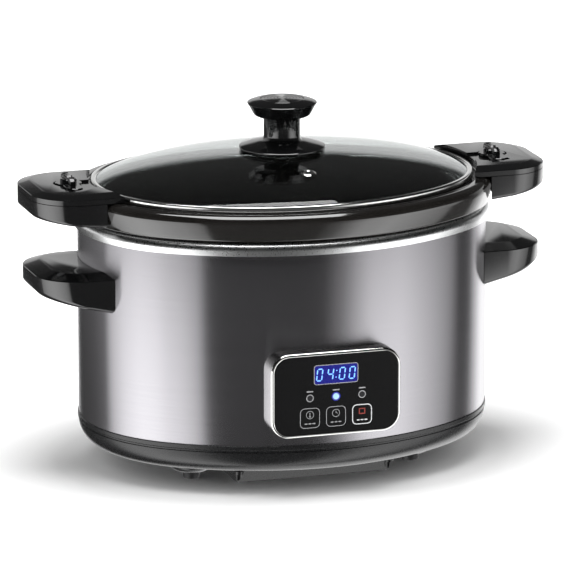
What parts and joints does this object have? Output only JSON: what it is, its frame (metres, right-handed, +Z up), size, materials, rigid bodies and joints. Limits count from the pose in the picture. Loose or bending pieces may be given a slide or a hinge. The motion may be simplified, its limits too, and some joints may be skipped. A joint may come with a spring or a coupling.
{
  "type": "slow cooker",
  "caption": "Oval slow cooker: steel-wrapped heated housing with a timer panel, lift-out glazed crock with two locking handles, and a domed glass lid with a knob.",
  "frame": {"origin": "centre of the oval, on the surface that the feet stand on", "axes": "+X along the long axis of the oval towards the right handle, -Y towards the control panel, +Z up"},
  "size_m": [0.386, 0.256, 0.2645],
  "materials": {
    "wrap_steel": "dark horizontally brushed stainless steel",
    "well_metal": "satin bright metal",
    "mica": "mica sheet heater",
    "ceramic_white": "unglazed white ceramic",
    "plain_metal": "plain sheet",
    "fastener": "plated steel",
    "base_plastic": "satin black plastic",
    "circuit_board": "green solder mask",
    "relay_case": "moulded relay case",
    "component_black": "moulded component body",
    "terminal_green": "moulded terminal block",
    "lead_sleeve": "silicone sleeve",
    "ribbon_grey": "flat ribbon cable",
    "soft_black": "moulded grommet",
    "foot_rubber": "dark grey rubber",
    "gloss_black": "polished black phenolic",
    "bezel_chrome": "bright plated",
    "panel_black": "gloss black window",
    "display_blue": "backlit blue display window",
    "lamp_lens": "clear indicator lens",
    "crock_glaze": "gloss black glaze",
    "lid_glass": "clear tempered glass",
    "rim_steel": "polished stainless band",
    "gasket_rubber": "silicone"
  },
  "bodies": {
    "housing": {"outer_wrap": "wrap_steel", "heating_well": "well_metal", "heater_band": "mica", "heater_terminals": "ceramic_white", "side_reflector": "plain_metal", "heat_shield": "plain_metal", "temperature_sensor": "plain_metal", "thermal_fuse": "ceramic_white", "center_bolt": "fastener", "center_nut": "fastener", "base_shell": "base_plastic", "electronics_cover": "base_plastic", "cover_screws": "fastener", "power_board": "circuit_board", "relay": "relay_case", "capacitor": "component_black", "terminal_block": "terminal_green", "heater_leads": "lead_sleeve", "ribbon_cable": "ribbon_grey", "cord_gland": "soft_black", "front_left_foot": "foot_rubber", "front_right_foot": "foot_rubber", "rear_left_foot": "foot_rubber", "rear_right_foot": "foot_rubber", "left_handle": "gloss_black", "right_handle": "gloss_black", "handle_screws": "fastener", "panel_case": "base_plastic", "panel_bezel": "bezel_chrome", "panel_window": "panel_black", "display_lens": "display_blue", "display_module": "component_black", "control_board": "circuit_board", "key_switches": "component_black", "indicator_lenses": "lamp_lens", "indicator_leds": "lamp_lens"},
    "temp_key": {"temp_key": "panel_black"},
    "time_key": {"time_key": "panel_black"},
    "stop_key": {"stop_key": "panel_black"},
    "crock": {"crock": "crock_glaze", "left_lock_handle": "gloss_black", "right_lock_handle": "gloss_black", "lock_screws": "fastener", "latch_pins": "fastener"},
    "left_latch": {"left_latch": "gloss_black"},
    "right_latch": {"right_latch": "gloss_black"},
    "lid": {"lid_glass": "lid_glass", "lid_rim": "rim_steel", "lid_gasket": "gasket_rubber", "vent_grommet": "bezel_chrome", "knob_flange": "gloss_black", "lid_knob": "gloss_black", "knob_inlay": "gloss_black", "knob_screw": "fastener", "knob_washer": "gasket_rubber"}
  },
  "joints": [
    {"name": "crock_lift", "type": "slide", "parent": "housing", "child": "crock", "axis": [0, 0, 1], "range_m": [0, 0.17]},
    {"name": "lid_lift", "type": "slide", "parent": "crock", "child": "lid", "axis": [0, 0, 1], "range_m": [0, 0.1]},
    {"name": "left_latch_turn", "type": "hinge", "parent": "crock", "child": "left_latch", "pos_m": [-0.16, 0, 0.212], "axis": [0, 0, 1], "range_deg": [0, 90]},
    {"name": "right_latch_turn", "type": "hinge", "parent": "crock", "child": "right_latch", "pos_m": [0.16, 0, 0.212], "axis": [0, 0, -1], "range_deg": [0, 90]},
    {"name": "temp_key_press", "type": "slide", "parent": "housing", "child": "temp_key", "axis": [0, 1, 0], "range_m": [0, 0.0006], "stiffness_N_per_m": 2000, "springref_m": -0.0004},
    {"name": "time_key_press", "type": "slide", "parent": "housing", "child": "time_key", "axis": [0, 1, 0], "range_m": [0, 0.0006], "stiffness_N_per_m": 2000, "springref_m": -0.0004},
    {"name": "stop_key_press", "type": "slide", "parent": "housing", "child": "stop_key", "axis": [0, 1, 0], "range_m": [0, 0.0006], "stiffness_N_per_m": 2000, "springref_m": -0.0004}
  ]
}
